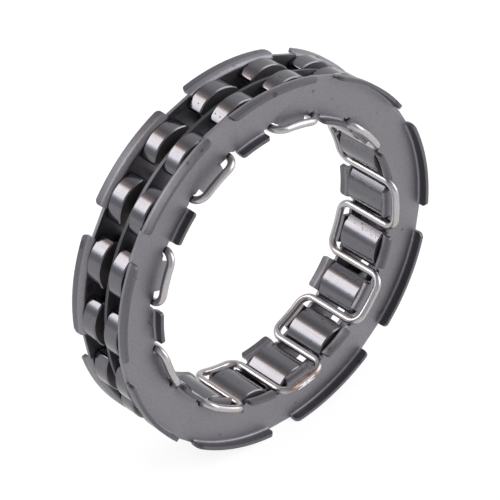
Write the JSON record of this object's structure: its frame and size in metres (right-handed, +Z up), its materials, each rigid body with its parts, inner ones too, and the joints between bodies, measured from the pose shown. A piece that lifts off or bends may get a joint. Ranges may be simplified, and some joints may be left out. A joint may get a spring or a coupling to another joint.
{
  "type": "sprag clutch",
  "caption": "Ring of rocking steel sprags held between pressed side plates by a zigzag wire spring; a one-way clutch insert that sits between round races.",
  "frame": {"origin": "centre of the ring, on its axis, midway between the two side plates", "axes": "+Y along the axis from the front plate to the rear plate, +Z up, with the ring standing on the plain stretch of rim between two outer tabs"},
  "size_m": [0.0636, 0.0136, 0.0635],
  "materials": {
    "plates": "satin, fine grain, as pressed",
    "ring": "satin",
    "spring": "bright drawn wire",
    "sprags": "ground and polished"
  },
  "bodies": {
    "cage": {"front_plate": "plates", "rear_plate": "plates", "center_ring": "ring", "zigzag_spring": "spring"},
    "sprag_01": {"sprag_01": "sprags"},
    "sprag_02": {"sprag_02": "sprags"},
    "sprag_03": {"sprag_03": "sprags"},
    "sprag_04": {"sprag_04": "sprags"},
    "sprag_05": {"sprag_05": "sprags"},
    "sprag_06": {"sprag_06": "sprags"},
    "sprag_07": {"sprag_07": "sprags"},
    "sprag_08": {"sprag_08": "sprags"},
    "sprag_09": {"sprag_09": "sprags"},
    "sprag_10": {"sprag_10": "sprags"},
    "sprag_11": {"sprag_11": "sprags"},
    "sprag_12": {"sprag_12": "sprags"},
    "sprag_13": {"sprag_13": "sprags"},
    "sprag_14": {"sprag_14": "sprags"},
    "sprag_15": {"sprag_15": "sprags"},
    "sprag_16": {"sprag_16": "sprags"},
    "sprag_17": {"sprag_17": "sprags"},
    "sprag_18": {"sprag_18": "sprags"}
  },
  "joints": [
    {"name": "sprag_01_rock", "type": "hinge", "parent": "cage", "child": "sprag_01", "pos_m": [0.02788, 0, -0.00025], "axis": [0, -1, 0], "range_deg": [0, 8], "stiffness_Nm_per_rad": 0.002, "springref_deg": -20.05},
    {"name": "sprag_02_rock", "type": "hinge", "parent": "cage", "child": "sprag_02", "pos_m": [0.02628, 0, 0.0093], "axis": [0, -1, 0], "range_deg": [0, 8], "stiffness_Nm_per_rad": 0.002, "springref_deg": -20.05},
    {"name": "sprag_03_rock", "type": "hinge", "parent": "cage", "child": "sprag_03", "pos_m": [0.02152, 0, 0.01773], "axis": [0, -1, 0], "range_deg": [0, 8], "stiffness_Nm_per_rad": 0.002, "springref_deg": -20.05},
    {"name": "sprag_04_rock", "type": "hinge", "parent": "cage", "child": "sprag_04", "pos_m": [0.01416, 0, 0.02402], "axis": [0, -1, 0], "range_deg": [0, 8], "stiffness_Nm_per_rad": 0.002, "springref_deg": -20.05},
    {"name": "sprag_05_rock", "type": "hinge", "parent": "cage", "child": "sprag_05", "pos_m": [0.00509, 0, 0.02741], "axis": [0, -1, 0], "range_deg": [0, 8], "stiffness_Nm_per_rad": 0.002, "springref_deg": -20.05},
    {"name": "sprag_06_rock", "type": "hinge", "parent": "cage", "child": "sprag_06", "pos_m": [-0.0046, 0, 0.0275], "axis": [0, -1, 0], "range_deg": [0, 8], "stiffness_Nm_per_rad": 0.002, "springref_deg": -20.05},
    {"name": "sprag_07_rock", "type": "hinge", "parent": "cage", "child": "sprag_07", "pos_m": [-0.01372, 0, 0.02427], "axis": [0, -1, 0], "range_deg": [0, 8], "stiffness_Nm_per_rad": 0.002, "springref_deg": -20.05},
    {"name": "sprag_08_rock", "type": "hinge", "parent": "cage", "child": "sprag_08", "pos_m": [-0.0212, 0, 0.01811], "axis": [0, -1, 0], "range_deg": [0, 8], "stiffness_Nm_per_rad": 0.002, "springref_deg": -20.05},
    {"name": "sprag_09_rock", "type": "hinge", "parent": "cage", "child": "sprag_09", "pos_m": [-0.02611, 0, 0.00977], "axis": [0, -1, 0], "range_deg": [0, 8], "stiffness_Nm_per_rad": 0.002, "springref_deg": -20.05},
    {"name": "sprag_10_rock", "type": "hinge", "parent": "cage", "child": "sprag_10", "pos_m": [-0.02788, 0, 0.00025], "axis": [0, -1, 0], "range_deg": [0, 8], "stiffness_Nm_per_rad": 0.002, "springref_deg": -20.05},
    {"name": "sprag_11_rock", "type": "hinge", "parent": "cage", "child": "sprag_11", "pos_m": [-0.02628, 0, -0.0093], "axis": [0, -1, 0], "range_deg": [0, 8], "stiffness_Nm_per_rad": 0.002, "springref_deg": -20.05},
    {"name": "sprag_12_rock", "type": "hinge", "parent": "cage", "child": "sprag_12", "pos_m": [-0.02152, 0, -0.01773], "axis": [0, -1, 0], "range_deg": [0, 8], "stiffness_Nm_per_rad": 0.002, "springref_deg": -20.05},
    {"name": "sprag_13_rock", "type": "hinge", "parent": "cage", "child": "sprag_13", "pos_m": [-0.01416, 0, -0.02402], "axis": [0, -1, 0], "range_deg": [0, 8], "stiffness_Nm_per_rad": 0.002, "springref_deg": -20.05},
    {"name": "sprag_14_rock", "type": "hinge", "parent": "cage", "child": "sprag_14", "pos_m": [-0.00509, 0, -0.02741], "axis": [0, -1, 0], "range_deg": [0, 8], "stiffness_Nm_per_rad": 0.002, "springref_deg": -20.05},
    {"name": "sprag_15_rock", "type": "hinge", "parent": "cage", "child": "sprag_15", "pos_m": [0.0046, 0, -0.0275], "axis": [0, -1, 0], "range_deg": [0, 8], "stiffness_Nm_per_rad": 0.002, "springref_deg": -20.05},
    {"name": "sprag_16_rock", "type": "hinge", "parent": "cage", "child": "sprag_16", "pos_m": [0.01372, 0, -0.02427], "axis": [0, -1, 0], "range_deg": [0, 8], "stiffness_Nm_per_rad": 0.002, "springref_deg": -20.05},
    {"name": "sprag_17_rock", "type": "hinge", "parent": "cage", "child": "sprag_17", "pos_m": [0.0212, 0, -0.01811], "axis": [0, -1, 0], "range_deg": [0, 8], "stiffness_Nm_per_rad": 0.002, "springref_deg": -20.05},
    {"name": "sprag_18_rock", "type": "hinge", "parent": "cage", "child": "sprag_18", "pos_m": [0.02611, 0, -0.00977], "axis": [0, -1, 0], "range_deg": [0, 8], "stiffness_Nm_per_rad": 0.002, "springref_deg": -20.05}
  ],
  "couplings": [
    {"joint": "sprag_02_rock", "follows": "sprag_01_rock", "ratio": 1},
    {"joint": "sprag_03_rock", "follows": "sprag_01_rock", "ratio": 1},
    {"joint": "sprag_04_rock", "follows": "sprag_01_rock", "ratio": 1},
    {"joint": "sprag_05_rock", "follows": "sprag_01_rock", "ratio": 1},
    {"joint": "sprag_06_rock", "follows": "sprag_01_rock", "ratio": 1},
    {"joint": "sprag_07_rock", "follows": "sprag_01_rock", "ratio": 1},
    {"joint": "sprag_08_rock", "follows": "sprag_01_rock", "ratio": 1},
    {"joint": "sprag_09_rock", "follows": "sprag_01_rock", "ratio": 1},
    {"joint": "sprag_10_rock", "follows": "sprag_01_rock", "ratio": 1},
    {"joint": "sprag_11_rock", "follows": "sprag_01_rock", "ratio": 1},
    {"joint": "sprag_12_rock", "follows": "sprag_01_rock", "ratio": 1},
    {"joint": "sprag_13_rock", "follows": "sprag_01_rock", "ratio": 1},
    {"joint": "sprag_14_rock", "follows": "sprag_01_rock", "ratio": 1},
    {"joint": "sprag_15_rock", "follows": "sprag_01_rock", "ratio": 1},
    {"joint": "sprag_16_rock", "follows": "sprag_01_rock", "ratio": 1},
    {"joint": "sprag_17_rock", "follows": "sprag_01_rock", "ratio": 1},
    {"joint": "sprag_18_rock", "follows": "sprag_01_rock", "ratio": 1}
  ]
}
